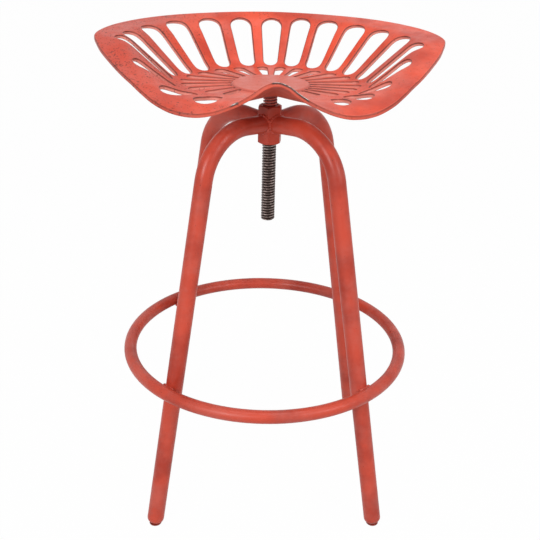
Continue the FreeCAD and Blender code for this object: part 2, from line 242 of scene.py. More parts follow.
@dataclass(frozen=True)
class WornPaint:
    """Satin red paint with a dusty film, dark specks, painted shade along edges and on one side, painted
    highlights on slot walls, and places rubbed to the metal.

    Mesh attributes say where the painted edge shade, the painted side shade and darker patches, the film with
    its painted highlights, the specks' wear and the bare metal lie, and are zero on a mesh without them.
    """

    name: str
    colour: Colour
    deep_and_shade: Colour
    film_and_highlight: Colour
    film_share: float
    speck_share: float
    roughness: float
    speck_and_shade: Colour = (0.045, 0.012, 0.008)
    steel: Colour = (0.42, 0.40, 0.38)
    pit: Colour = (0.05, 0.045, 0.045)
    chip_edge: Colour = (0.02, 0.012, 0.012)
    dot_start: float = 0.735
    smear_start: float = 0.72
    specular: float = 0.32
    bump_strength: float = 0.35
    bump_depth: float = 0.0006

    def coat(self, t: ShaderTree) -> bpy.types.NodeSocket:
        """Paint with its darker patches, its painted side shade, and its film with the painted highlights.

        Args:
            t: The material's tree.

        Returns:
            The colour's socket.
        """
        # Painted shade: darker towards the left side, and darker over the back-left corner and the disc.
        shade_and_darkening = t.attribute("shade_and_darkening")
        colour = t.mix(t.step(t.noise(13.0, 4.0, 0.6), 0.40, 0.66), self.colour, self.deep_and_shade)
        colour = t.mix(shade_and_darkening, colour, self.deep_and_shade)
        patch = t.step(t.noise(19.0, 5.0, 0.65, shift=3.1), 0.42, 0.66)
        share = t.math("SUBTRACT", self.film_share, t.math("MULTIPLY", shade_and_darkening, self.film_share * 0.8))
        film_and_highlight = t.math("ADD", t.math("MULTIPLY", patch, share), t.attribute("film_and_highlight"))
        return t.mix(t.math("MINIMUM", film_and_highlight, 1.0), colour, self.film_and_highlight)

    def marks(self, t: ShaderTree) -> bpy.types.NodeSocket:
        """Specks and smears, thicker where the paint is worn.

        Args:
            t: The material's tree.

        Returns:
            Socket of their share.
        """
        crowd = t.step(t.noise(16.0, 3.0, 0.6, shift=7.7), 0.38, 0.68, 0.0, 0.55)
        crowd = t.math("ADD", crowd, t.attribute("worn"))
        limit = t.math("SUBTRACT", self.dot_start, t.math("MULTIPLY", crowd, 0.105 * self.speck_share))
        dots = t.step(t.math("SUBTRACT", t.noise(420.0, 2.0, 0.5, shift=1.7), limit), 0.0, 0.03)
        limit = t.math("SUBTRACT", self.smear_start, t.math("MULTIPLY", crowd, 0.100 * self.speck_share))
        smears = t.noise(120.0, 4.0, 0.7, stretch=(1.0, 1.0, 0.45), shift=5.3)
        smears = t.step(t.math("SUBTRACT", smears, limit), 0.0, 0.05, 0.0, 0.75)
        return t.math("MAXIMUM", dots, smears)

    def material(self) -> bpy.types.Material:
        """Build the material.

        Returns:
            The finished material.
        """
        t = ShaderTree(self.name)
        marks = self.marks(t)
        colour = t.mix(t.math("MULTIPLY", marks, 0.8), self.coat(t), self.speck_and_shade)
        # Painted shade: edges, slot walls, the disc's edge and the underside darken towards the speck colour.
        break_up = t.step(t.noise(90.0, 3.0, 0.6, shift=8.8), 0.30, 0.62, 0.72, 1.0)
        colour = t.mix(t.math("MULTIPLY", t.attribute("crevice"), break_up), colour, self.speck_and_shade)

        grain = t.noise(260.0, 3.0, 0.7, shift=9.1)
        ragged = t.math("MULTIPLY", t.math("SUBTRACT", grain, 0.5), 0.9)
        bare = t.step(t.math("ADD", t.attribute("bare"), ragged), 0.46, 0.54)
        chip_edge = t.math("MULTIPLY", t.step(bare, 0.02, 0.5), t.step(bare, 0.98, 0.6))
        colour = t.mix(bare, colour, t.mix(t.step(grain, 0.45, 0.62), self.steel, self.pit))
        colour = t.mix(chip_edge, colour, self.chip_edge)

        shader = t.node("ShaderNodeBsdfPrincipled")
        t.feed(shader.inputs["Base Color"], colour)
        t.feed(shader.inputs["Metallic"], t.math("MULTIPLY", bare, 0.85))
        smooth, dull = self.roughness - 0.06, self.roughness + 0.08
        rough = t.step(t.noise(70.0, 4.0, 0.6, shift=4.4), 0.3, 0.7, smooth, dull)
        rough = t.math("ADD", rough, t.math("MULTIPLY", marks, 0.15))
        rough = t.math("SUBTRACT", rough, t.math("MULTIPLY", bare, 0.12))
        t.feed(shader.inputs["Roughness"], rough)
        shader.inputs["Specular IOR Level"].default_value = self.specular

        skin = t.noise(900.0, 2.0, 0.5)
        casting = t.noise(150.0, 4.0, 0.55, shift=6.6)
        height = t.math("ADD", t.math("MULTIPLY", skin, 0.12), t.math("MULTIPLY", casting, 0.55))
        height = t.math("SUBTRACT", height, t.math("MULTIPLY", marks, 0.5))
        height = t.math("SUBTRACT", height, t.math("MULTIPLY", bare, 0.6))
        t.bump(shader, height, self.bump_strength, self.bump_depth)
        return t.finish(shader)


@dataclass(frozen=True)
class OiledThread:
    """Dark brown steel of the screw, with a painted reflection in bright bands down its crests on either
    side, and paint near its top, darker in the roots as painted shade. In metres.
    """

    name: str = "oiled_thread"
    # The bright steel shows only in the painted reflection bands.
    steel: Colour = (0.46, 0.37, 0.34)
    grime: Colour = (0.045, 0.026, 0.021)
    paint: Colour = (0.62, 0.075, 0.042)
    paint_shade_in_root: float = 0.45
    painted_above: float = 0.597
    paint_edge: float = 0.003
    root_radius: float = 0.0083
    crest_radius: float = 0.0098
    outer_radius: float = 0.010

    def material(self) -> bpy.types.Material:
        """Build the material.

        Returns:
            The finished material.
        """
        t = ShaderTree(self.name)
        crest = t.step(t.distance_to_axis(), self.root_radius, self.crest_radius)
        wear_and_painted_light = t.noise(220.0, 4.0, 0.65)
        # Painted reflection: bright bands on the crests at either side of the screw, broken up by noise.
        across = t.math("DIVIDE", t.math("ABSOLUTE", t.axis(0)), self.outer_radius)
        inner, outer = t.step(across, 0.12, 0.42, 0.30, 1.0), t.step(across, 0.68, 0.92, 1.0, 0.35)
        rubbed = t.math("MULTIPLY", inner, outer)
        rubbed = t.math("MULTIPLY", rubbed, t.step(wear_and_painted_light, 0.36, 0.62, 0.25, 1.0))
        steel = t.mix(t.math("MULTIPLY", crest, rubbed), self.grime, self.steel)
        ragged = t.math("MULTIPLY", t.noise(160.0, 3.0, 0.6, shift=2.0), 2 * self.paint_edge)
        height = t.math("ADD", t.axis(2), ragged)
        painted = t.step(height, self.painted_above, self.painted_above + self.paint_edge)
        # Painted shade: the paint is darker in the thread's roots.
        paint = t.mix(crest, tuple(c * self.paint_shade_in_root for c in self.paint), self.paint)
        shader = t.node("ShaderNodeBsdfPrincipled")
        t.feed(shader.inputs["Base Color"], t.mix(painted, steel, paint))
        metal = t.math("MULTIPLY", t.step(painted, 0.0, 1.0, 1.0, 0.0), 0.75)
        t.feed(shader.inputs["Metallic"], metal)
        t.feed(shader.inputs["Roughness"], t.step(wear_and_painted_light, 0.3, 0.7, 0.24, 0.42))
        t.bump(shader, t.noise(700.0, 3.0, 0.6), 0.4, 0.0004)
        return t.finish(shader)


@dataclass(frozen=True)
class MouldedGlide:
    """Matte dark red plastic of the foot glides."""

    name: str = "moulded_glide"
    colour: Colour = (0.26, 0.034, 0.020)
    dust: Colour = (0.09, 0.040, 0.032)

    def material(self) -> bpy.types.Material:
        """Build the material.

        Returns:
            The finished material.
        """
        t = ShaderTree(self.name)
        dust = t.step(t.noise(180.0, 4.0, 0.6), 0.5, 0.8, 0.0, 0.5)
        shader = t.node("ShaderNodeBsdfPrincipled")
        t.feed(shader.inputs["Base Color"], t.mix(dust, self.colour, self.dust))
        t.feed(shader.inputs["Roughness"], t.step(dust, 0.0, 0.5, 0.5, 0.75))
        t.bump(shader, t.noise(1200.0, 2.0, 0.5), 0.3, 0.0003)
        return t.finish(shader)


SEAT_PAINT = WornPaint("seat_paint", colour=(0.70, 0.074, 0.030), deep_and_shade=(0.50, 0.044, 0.018),
                       film_and_highlight=(0.78, 0.28, 0.225), film_share=0.13, speck_share=1.0, roughness=0.40)
FRAME_PAINT = WornPaint("frame_paint", colour=(0.54, 0.062, 0.032), deep_and_shade=(0.38, 0.036, 0.018),
                        film_and_highlight=(0.46, 0.15, 0.125), film_share=0.24, speck_share=0.35, roughness=0.38)


# Seat


@dataclass(frozen=True)
class PanSkin:
    """Upper surface of the cast pan, in millimetres over the disc's top.

    Each station holds an azimuth, the rim's radius and height, the wall's foot radius, and the shoulder's
    radius and height. The front lip is turned and lifted a little from the stations.
    """

    stations: Tuple[Tuple[float, ...], ...] = (
        (-90, 115, 24.5, 54, 100, 20.0),
        (-82, 120, 21.0, 56, 106, 17.0),
        (-76, 131, 13.0, 60, 116, 11.0),
        (-70, 149, 4.6, 68, 128, 6.0),
        (-64, 171, -1.7, 78, 140, 4.0),
        (-58, 185, -4.4, 90, 148, 4.5),
        (-50, 195, -2.2, 104, 156, 6.0),
        (-42, 201, 5.4, 115, 162, 8.5),
        (-34, 203, 14.2, 122, 168, 13.0),
        (-26, 206, 22.5, 127, 174, 19.5),
        (-11, 219, 36.0, 130, 189, 38.0),
        (3, 240, 49.0, 131, 203, 55.0),
        (9, 250, 55.6, 131, 205, 56.5),
        (17, 247, 60.0, 131, 202, 56.5),
        (32, 239, 62.3, 131, 194, 56.5),
        (46, 227, 64.1, 130, 187, 57.0),
        (61, 210, 66.0, 130, 180, 57.5),
        (75, 200, 67.3, 129, 176, 57.5),
        (90, 196, 68.0, 129, 175, 57.5),
    )
    disc_radius: float = 54.0
    disc_step: float = 2.5
    foot_blend: float = 14.0
    shoulder_blend: float = 14.0
    margin: float = 26.0
    disc_edge: float = 1.6
    below_disc: float = 20.0
    join: float = 0.5
    lip_turn: float = 2.2
    lip_turn_spread: float = 24.0
    lip_lift: float = 2.0
    lip_lift_azimuth: float = -88.0
    lip_lift_spread: float = 14.0

    def station(self, column: int, azimuth: np.ndarray) -> np.ndarray:
        """Smooth value between the stations at azimuths on either side.

        Args:
            column: 1 rim radius, 2 rim height, 3 foot radius, 4 shoulder radius, 5 shoulder height.
            azimuth: Degrees about the screw's axis.

        Returns:
            The values there.
        """
        table = np.array(self.stations, float)
        grid, values = table[:, 0], table[:, column]
        a = (np.asarray(azimuth, float) + 180) % 360 - 180
        near_lip = np.exp(-((a - self.lip_lift_azimuth) / self.lip_lift_spread) ** 2)
        lift = self.lip_lift * near_lip * (column == 2)
        a = a - self.lip_turn * np.exp(-((a + 90) / self.lip_turn_spread) ** 2)
        a = np.where(a > 90, 180 - a, a)
        a = np.where(a < -90, -180 - a, a)
        slopes = np.zeros(len(grid))
        slopes[1:-1] = (values[2:] - values[:-2]) / (grid[2:] - grid[:-2])
        i = np.clip(np.searchsorted(grid, a, side="right") - 1, 0, len(grid) - 2)
        span = grid[i + 1] - grid[i]
        t = (a - grid[i]) / span
        value = (2 * t**3 - 3 * t**2 + 1) * values[i] + (3 * t**2 - 2 * t**3) * values[i + 1]
        return lift + value + span * ((t**3 - 2 * t**2 + t) * slopes[i] + (t**3 - t**2) * slopes[i + 1])

    @staticmethod
    def ramp(distance: np.ndarray, blend: float) -> np.ndarray:
        """Zero, then a slope of one, with a curve of the given half width between them."""
        curve = (distance + blend) ** 2 / (4 * blend)
        return np.where(distance <= -blend, 0.0, np.where(distance >= blend, distance, curve))

    def dish(self, x: np.ndarray, y: np.ndarray) -> np.ndarray:
        """Height of the dish, wall and rim band.

        Args:
            x: Where to look, sideways.
            y: Where to look, to the back.

        Returns:
            Heights over the disc's top.
        """
        azimuth = np.degrees(np.arctan2(y, x))
        rim, foot, shoulder = (self.station(c, azimuth) for c in (1, 3, 4))
        rim_z, shoulder_z = (self.station(c, azimuth) for c in (2, 5))
        wall = (shoulder_z + self.disc_step) / (shoulder - foot)
        band = (rim_z - shoulder_z) / (rim - shoulder)
        radius = np.minimum(np.hypot(x, y), rim + self.margin)
        fade = np.minimum(1.0, np.hypot(x, y) / self.disc_radius)
        climb = wall * self.ramp(radius - foot, self.foot_blend)
        climb = climb + (band - wall) * self.ramp(radius - shoulder, self.shoulder_blend)
        return climb * fade - self.disc_step

    def height(self, x: np.ndarray, y: np.ndarray) -> np.ndarray:
        """Height of the upper surface, the raised disc with its rounded edge included.

        Args:
            x: Where to look, sideways.
            y: Where to look, to the back.

        Returns:
            Heights over the disc's top.
        """
        dish, soft = self.dish(x, y), self.join
        edge = np.clip((np.hypot(x, y) - self.disc_radius + self.disc_edge) / (2 * self.disc_edge), 0.0, 1.0)
        disc = -(self.disc_step + soft) * edge * edge * (3 - 2 * edge) - self.below_disc * (edge >= 1.0)
        gap = dish - disc
        return np.where(np.abs(gap) < soft, (dish + disc) / 2 + gap**2 / (4 * soft) + soft / 4,
                        np.maximum(dish, disc))

    def steepness(self, x: np.ndarray, y: np.ndarray) -> np.ndarray:
        """Length of the upright line through a sheet one unit thick.

        Args:
            x: Where to look, sideways.
            y: Where to look, to the back.

        Returns:
            The lengths.
        """
        e = 0.5
        slope_x = (self.dish(x + e, y) - self.dish(x - e, y)) / (2 * e)
        slope_y = (self.dish(x, y + e) - self.dish(x, y - e)) / (2 * e)
        return np.sqrt(1 + slope_x**2 + slope_y**2)


@dataclass(frozen=True)
class SeatWearAndPaintedLight:
    """Where the seat's paint carries painted shade and painted highlights, and where it is dusty, darker or
    rubbed through. Millimetres from the screw's axis.

    The painted shade lines and painted highlights run down the rounded section of an edge, from the upper
    skin to the lower one.
    """

    # Painted shade lines and painted highlights down an edge: dark at the top corner and the foot of a wall,
    # light on the rounding and mid-wall.
    slot_shade_lines: Tuple[float, ...] = (0, 0.25, 0.85, 1.0, 0.30, 0, 0, 0.35, 0.85, 0.6)
    slot_highlights: Tuple[float, ...] = (0, 0.15, 0, 0, 0.45, 1.0, 0.80, 0.2, 0, 0)
    rim_shade_lines: Tuple[float, ...] = (0, 0.10, 0.45, 0.75, 0.40, 0.10, 0.10, 0.25, 0.55, 0.4)
    rim_highlights: Tuple[float, ...] = (0, 0.20, 0, 0, 0.1, 0.2, 0.1, 0, 0, 0)
    bare_spans: Tuple[Tuple[float, float], ...] = ((0.0, 43.0), (-52.0, -46.0))
    bare_shares: Tuple[float, ...] = (0.50, 0.95, 0.95)
    bare_shadow: float = 0.855
    shadow_levels: Tuple[int, ...] = (3, 4)
    bare_fade: float = 3.0
    front_edge: float = -90.0
    # Painted shade over the underside, and a painted shade line round the disc's edge.
    under_shade: float = 0.35
    disc_shade_line: float = 0.45
    worn_least: float = 0.10
    worn_left: float = 0.75
    worn_rim: float = 0.30
    left_reach: float = 190.0
    rim_reach: float = 22.0
    disc_film: float = 0.34
    flank_film: float = 0.26
    flank_place: Tuple[float, float] = (38.0, -72.0)
    flank_spread: Tuple[float, float] = (26.0, 34.0)
    corner_film: float = 0.10
    corner_place: Tuple[float, float] = (-205.0, 75.0)
    corner_spread: Tuple[float, float] = (55.0, 60.0)
    # Painted shade towards the left side; also darker over the back-left corner and the disc.
    shade_left: float = 0.80
    shade_start: float = 70.0
    shade_reach: float = 140.0
    darker_corner: float = 0.40
    darker_disc: float = 0.85

    @staticmethod
    def patch(x: np.ndarray, y: np.ndarray, place: Sequence[float], spread: Sequence[float]) -> np.ndarray:
        """Soft patch, used for film and for darkening.

        Args:
            x: Where to look, sideways.
            y: Where to look, to the back.
            place: The patch's middle.
            spread: Its reach both ways.

        Returns:
            Values from 0 to 1.
        """
        return np.exp(-((x - place[0]) / spread[0]) ** 2 - ((y - place[1]) / spread[1]) ** 2)

    def rubbed(self, ring: np.ndarray) -> np.ndarray:
        """Where the front lip and its chip are, along a ring of the rim.

        Args:
            ring: The ring's points.

        Returns:
            Values from 0 to 1.
        """
        x, fade = ring[:, 0], self.bare_fade
        found = np.zeros(len(ring))
        for low, high in self.bare_spans:
            span = np.clip((x - low) / fade + 1, 0, 1) * np.clip((high - x) / fade + 1, 0, 1)
            found = np.maximum(found, span)
        return found * (ring[:, 1] < self.front_edge)

    def section(self, ring: np.ndarray, level: int, rim: bool) -> Dict[str, object]:
        """Masks of one ring in the section of an edge.

        Args:
            ring: The ring's points.
            level: The ring's place in the section, from the top.
            rim: Whether it is the rim's edge, not a slot's.

        Returns:
            Values from 0 to 1 by mask name.
        """
        # Painted shade lines and painted highlights of this ring.
        if not rim:
            return {"crevice": self.slot_shade_lines[level], "painted_highlight": self.slot_highlights[level]}
        line, bare = self.rim_shade_lines[level], 0.0
        if level < len(self.bare_shares):
            bare = self.bare_shares[level] * self.rubbed(ring)
        if level in self.shadow_levels:
            line = line + self.bare_shadow * self.rubbed(ring)
        return {"crevice": line, "painted_highlight": self.rim_highlights[level], "bare": bare}

    def layers(self, points: np.ndarray, skin: PanSkin,
               masks: Dict[str, np.ndarray]) -> Dict[str, np.ndarray]:
        """All the finish's masks, from where each point lies.

        Args:
            points: The mesh's points, over the disc's top.
            skin: The pan's upper surface.
            masks: What the edges already carry.

        Returns:
            Values from 0 to 1 by attribute name.
        """
        x, y = points[:, 0], points[:, 1]
        radius = np.hypot(x, y)
        from_rim = skin.station(1, np.degrees(np.arctan2(y, x))) - radius
        worn = self.worn_least + self.worn_left * np.clip(-x / self.left_reach, 0, 1)
        worn = worn + self.worn_rim * (1 - np.clip(from_rim / self.rim_reach, 0, 1))
        disc = self.disc_film * np.clip((skin.disc_radius + 2.5 - radius) / 3.0, 0, 1)
        flank = self.flank_film * self.patch(np.abs(x), y, self.flank_place, self.flank_spread)
        corner = self.patch(x, y, self.corner_place, self.corner_spread)
        # The film's mask also carries the edges' painted highlights.
        film_and_highlight = np.maximum.reduce([disc, flank, self.corner_film * corner, masks["painted_highlight"]])
        # Painted shade towards the left side, and darker over the back-left corner and the disc.
        shade_and_darkening = self.shade_left * np.clip((-x - self.shade_start) / self.shade_reach, 0, 1)
        shade_and_darkening = shade_and_darkening + self.darker_corner * corner + self.darker_disc * (radius < skin.disc_radius + 2)
        # Painted shade line round the disc's edge.
        step = self.disc_shade_line * np.exp(-(radius - skin.disc_radius - 0.6) ** 2)
        return {"crevice": np.maximum(masks["crevice"], step), "bare": masks["bare"],
                "worn": np.clip(worn, 0, 1), "film_and_highlight": np.clip(film_and_highlight, 0, 1), "shade_and_darkening": np.clip(shade_and_darkening, 0, 1)}


class CastMesh:
    """Points, faces and edge masks of the casting while it is put together."""

    def __init__(self) -> None:
        """Start empty."""
        self.points: List[np.ndarray] = []
        self.faces: List[Tuple[int, ...]] = []
        # Masks of painted shade, painted highlights and bare metal.
        self.masks: Dict[str, List[np.ndarray]] = {"crevice": [], "painted_highlight": [], "bare": []}

    def add(self, new: np.ndarray, **masks: object) -> int:
        """Add points.

        Args:
            new: The points.
            **masks: Values of the masks there, zero where not given.

        Returns:
            Number of the first one.
        """
        base = sum(len(p) for p in self.points)
        self.points.append(new)
        for name, parts in self.masks.items():
            parts.append(np.zeros(len(new)) + masks.get(name, 0.0))
        return base

    def skin(self, points: np.ndarray, tris: np.ndarray, base: int, upwards: bool) -> None:
        """Add one skin's triangles, all facing the same way.

        Args:
            points: The skin's points.
            tris: Its triangles.
            base: Number of its first point.
            upwards: Whether it faces up.
        """
        for tri in tris:
            a, b, c = points[tri]
            order = tri if (np.cross(b - a, c - a)[2] > 0) == upwards else tri[::-1]
            self.faces.append(tuple(int(i) + base for i in order))

    def wall(self, bases: Sequence[int], ring: np.ndarray, outer: bool) -> None:
        """Join rings that lie one under the other.

        Args:
            bases: Number of each ring's first point, from the top.
            ring: The upper ring's points in plan.
            outer: Whether the wall faces away from the ring's middle.
        """
        count, after = len(ring), np.roll(ring, -1, axis=0)
        spin = np.sum(ring[:, 0] * after[:, 1] - after[:, 0] * ring[:, 1])
        flip = (spin < 0) if outer else (spin > 0)
        for upper, lower in zip(bases, bases[1:]):
            for i in range(count):
                j = (i + 1) % count
                quad = (upper + i, lower + i, lower + j, upper + j)
                self.faces.append(quad[::-1] if flip else quad)


@dataclass
class CastSeat:
    """The pan with all its slots, as one closed mesh with rounded edges. Sizes in millimetres.

    A slot in the wall holds the fan's azimuth and the radius of its inner end, the same of its outer end, and
    its two widths. A slot by the disc holds the azimuths of its ends, its outer radius and its two widths.
    """

    skin: PanSkin = field(default_factory=PanSkin)
    wear_and_painted_light: SeatWearAndPaintedLight = field(default_factory=SeatWearAndPaintedLight)
    datum: float = 636.0
    thickness: float = 5.5
    fan_centre_y: float = -20.0
    top_round: float = 1.7
    bottom_round: float = 0.7
    inner_round: float = 1.3
    spacing: float = 3.4
    closest: float = 0.55
    rim_turn: float = 0.75
    inner_start: float = 1.0
    disc_rings: Tuple[float, ...] = (-2.6, -1.6, -0.8, 0.0, 0.8, 1.6, 2.6)
    disc_clear: float = 3.6
    disc_turn: float = 3.0
    settle_steps: int = 12
    settle_share: float = 0.8
    wall_slots: Tuple[Tuple[float, ...], ...] = (
        (89, 124, 88.5, 181, 21, 30), (77, 124, 75, 185.5, 23, 30), (64, 125, 62.5, 190, 24, 32),
        (51.5, 126, 49, 195.5, 24, 33), (38, 128, 36, 201, 24, 33), (24, 129, 22, 207, 23, 33),
        (9, 135, 10, 211, 21, 26), (-5, 137, -0.5, 189.5, 21, 30), (-14, 129, -21, 173, 22, 31),
        (-22, 118, -37.5, 167, 19, 26), (-38.5, 119, -51, 158, 16, 22),
        (102, 123, 103, 183.5, 23.5, 32), (117, 125, 117.5, 191, 24, 34), (132, 124, 133, 203, 24, 34),
        (146.5, 127.5, 147, 209.5, 23, 31), (160.5, 135, 160.5, 213.5, 21, 28),
        (171, 137, 167.5, 217, 17, 20), (186, 134, 184, 188, 20, 26), (201, 119, 212.5, 176, 24, 36),
        (218, 106, 231, 160, 22, 29),
    )
    inner_slots: Tuple[Tuple[float, ...], ...] = (
        (81, 81, 118, 7, 15), (67, 67, 118, 7, 15.5), (53.5, 51.5, 118, 7, 16.5), (41, 37.5, 121.5, 7, 18),
        (29.5, 23.5, 126, 7, 18), (17.5, 9, 127, 7, 15.5), (4, -1.8, 126, 6.5, 13.5),
        (-9, -11.5, 120, 6.5, 13), (-20, -21.5, 113, 6.5, 13), (-30, -33, 105, 6.5, 14.5),
        (-40, -43, 86, 6, 9), (95, 95, 118, 7, 15), (110.5, 114, 118, 7, 16.5), (127, 129.5, 121, 7, 18),
        (139.5, 146.5, 123, 7, 18),
        (150, 160.5, 126, 6.5, 16), (161.5, 173, 127, 6.5, 14.5), (174, 184, 124, 7, 15),
        (188, 196.5, 117, 7, 15), (204, 211.5, 102, 7, 14), (218.5, 226, 89, 6.5, 12),
    )

    def on_skin(self, x: float, y: float) -> np.ndarray:
        """Point of the upper surface over the disc's top."""
        return np.array([x, y, float(self.skin.dish(np.array(x), np.array(y)))])

    def fan_point(self, azimuth: float, radius: float) -> np.ndarray:
        """Point on a ray of the slots' fan.

        Args:
            azimuth: The ray's turn about the fan's centre, in degrees.
            radius: The point's distance from the screw's axis.

        Returns:
            The point, over the disc's top.
        """
        a = math.radians(azimuth)
        along = -self.fan_centre_y * math.sin(a)
        distance = along + math.sqrt(along**2 + radius**2 - self.fan_centre_y**2)
        return self.on_skin(distance * math.cos(a), self.fan_centre_y + distance * math.sin(a))

    def profile(self, top_round: float) -> List[Tuple[float, float]]:
        """Rounded section of an edge: how far it is set back, and its depth, from top to bottom.

        Args:
            top_round: Radius of the upper edge.

        Returns:
            Pairs of set-back and depth.
        """
        rows = []
        for angle in np.linspace(0, math.pi / 2, 5):
            rows.append((top_round * (1 - math.sin(angle)), top_round * (1 - math.cos(angle))))
        rows.append((0.0, (top_round + self.thickness - self.bottom_round) / 2))
        for angle in np.linspace(math.pi / 2, 0, 4):
            r = self.bottom_round
            rows.append((r * (1 - math.sin(angle)), self.thickness - r * (1 - math.cos(angle))))
        return rows

    def slot_rings(self, start: np.ndarray, end: np.ndarray, width_in: float, width_out: float,
                   top_round: float) -> np.ndarray:
        """Rings of points down the rounded wall of one slot.

        Args:
            start: Inner end on the upper surface.
            end: Outer end on the upper surface.
            width_in: Width at the inner end.
            width_out: Width at the outer end.
            top_round: Radius of the upper edge.

        Returns:
            Array of rings, points and coordinates.
        """
        run = end - start
        length = float(np.linalg.norm(run))
        ux = run / length
        uy = np.array([-ux[1], ux[0], 0.0]) / math.hypot(ux[0], ux[1])
        uz = np.cross(ux, uy)
        r0, r1 = width_in / 2, width_out / 2
        c0, c1 = r0, length - r1
        lean = math.acos((r0 - r1) / (c1 - c0))
        side = max(3, int((c1 - c0) / self.spacing))
        parts = []
        for k in np.linspace(lean, -lean, 13):
            parts.append((c1, r1, k))
        for t in np.linspace(0, 1, side + 1)[1:-1]:
            parts.append((c1 + (c0 - c1) * t, r1 + (r0 - r1) * t, -lean))
        for k in np.linspace(-lean, lean - 2 * math.pi, 11):
            parts.append((c0, r0, k))
        for t in np.linspace(0, 1, side + 1)[1:-1]:
            parts.append((c0 + (c1 - c0) * t, r0 + (r1 - r0) * t, lean))
        centre, radius, angle = (np.array(v) for v in zip(*parts))
        rings = []
        for offset, depth in self.profile(top_round):
            out = radius + offset
            flat = np.stack([centre + out * np.cos(angle), out * np.sin(angle)], axis=1)
            base = start + flat[:, :1] * ux + flat[:, 1:] * uy
            lift = np.zeros(len(base))
            for _ in range(self.settle_steps):
                p = base + lift[:, None] * uz
                target = self.skin.height(p[:, 0], p[:, 1]) - depth * self.skin.steepness(p[:, 0], p[:, 1])
                lift += (target - p[:, 2]) * self.settle_share
            rings.append(base + lift[:, None] * uz)
        return np.array(rings)

    def rim_rings(self) -> np.ndarray:
        """Rings of points round the rounded edge of the rim.

        Returns:
            Array of rings, points and coordinates.
        """
        azimuth = np.arange(-90, 270, self.rim_turn)
        radius = self.skin.station(1, azimuth)
        a = np.radians(azimuth)
        outline = np.stack([radius * np.cos(a), radius * np.sin(a)], axis=1)
        tangent = np.roll(outline, -1, axis=0) - np.roll(outline, 1, axis=0)
        normal = np.stack([tangent[:, 1], -tangent[:, 0]], axis=1)
        normal /= np.linalg.norm(normal, axis=1)[:, None]
        rings = []
        for offset, depth in self.profile(self.top_round):
            flat = outline - normal * offset
            z = self.skin.height(flat[:, 0], flat[:, 1])
            z = z - depth * self.skin.steepness(flat[:, 0], flat[:, 1])
            rings.append(np.column_stack([flat, z]))
        return np.array(rings)

    def slots(self) -> List[np.ndarray]:
        """Rings of every slot.

        Returns:
            One array a slot, those in the wall first.
        """
        found = []
        for a0, r0, a1, r1, w0, w1 in self.wall_slots:
            start, end = self.fan_point(a0, r0), self.fan_point(a1, r1)
            found.append(self.slot_rings(start, end, w0, w1, self.top_round))
        for a0, a1, outer, w0, w1 in self.inner_slots:
            inner, t0, t1 = self.skin.disc_radius + self.inner_start, math.radians(a0), math.radians(a1)
            start = self.on_skin(inner * math.cos(t0), inner * math.sin(t0))
            end = self.on_skin(outer * math.cos(t1), outer * math.sin(t1))
            found.append(self.slot_rings(start, end, w0, w1, self.inner_round))
        return found

    @staticmethod
    def inside(points: np.ndarray, loop: np.ndarray) -> np.ndarray:
        """Which points lie inside a closed flat outline.

        Args:
            points: Points to test.
            loop: The outline.

        Returns:
            One truth value a point.
        """
        result = np.zeros(len(points), bool)
        low, high = loop.min(axis=0), loop.max(axis=0)
        near = np.where(np.all((points >= low) & (points <= high), axis=1))[0]
        p = points[near]
        crossings = np.zeros(len(p), int)
        for a, b in zip(loop, np.roll(loop, -1, axis=0)):
            if a[1] == b[1]:
                continue
            spans = (a[1] > p[:, 1]) != (b[1] > p[:, 1])
            x = a[0] + (p[:, 1] - a[1]) * (b[0] - a[0]) / (b[1] - a[1])
            crossings += spans & (p[:, 0] < x)
        result[near] = crossings % 2 == 1
        return result

    def clear(self, points: np.ndarray, loops: Sequence[np.ndarray]) -> np.ndarray:
        """Which points lie inside the first outline and outside all the others.

        Args:
            points: Points to test.
            loops: The rim and the slots.

        Returns:
            One truth value a point.
        """
        keep = self.inside(points, loops[0][:, :2])
        for hole in loops[1:]:
            keep &= ~self.inside(points, hole[:, :2])
        return keep

    def grid(self, loops: Sequence[np.ndarray]) -> np.ndarray:
        """Even points between the outlines, with circles of them round the disc's edge.

        Args:
            loops: The rim and the slots.

        Returns:
            The points in plan.
        """
        bounds = np.concatenate([loop[:, :2] for loop in loops])
        low, high = bounds.min(axis=0), bounds.max(axis=0)
        s, rows = self.spacing, []
        for j, y in enumerate(np.arange(low[1], high[1], s * 0.866)):
            xs = np.arange(low[0] + (j % 2) * s / 2, high[0], s)
            rows.append(np.column_stack([xs, np.full(len(xs), y)]))
        grid = np.concatenate(rows)
        radii = np.hypot(grid[:, 0], grid[:, 1])
        grid = grid[np.abs(radii - self.skin.disc_radius) > self.disc_clear]
        turn = np.radians(np.arange(0, 360, self.disc_turn))
        circles = [np.column_stack([r * np.cos(turn + r), r * np.sin(turn + r)])
                   for r in self.skin.disc_radius + np.array(self.disc_rings)]
        grid = np.concatenate([grid] + circles)
        grid = grid[self.clear(grid, loops)]
        keep, cell = np.ones(len(grid), bool), 4.0
        table: Dict[Tuple[int, int], List[np.ndarray]] = {}
        for p in bounds:
            table.setdefault((int(p[0] // cell), int(p[1] // cell)), []).append(p)
        around = [(dx, dy) for dx in (-1, 0, 1) for dy in (-1, 0, 1)]
        for i, g in enumerate(grid):
            cx, cy = int(g[0] // cell), int(g[1] // cell)
            near = [p for dx, dy in around for p in table.get((cx + dx, cy + dy), ())]
            if near and np.min(np.hypot(*(np.array(near) - g).T)) < self.closest * s:
                keep[i] = False
        return grid[keep]

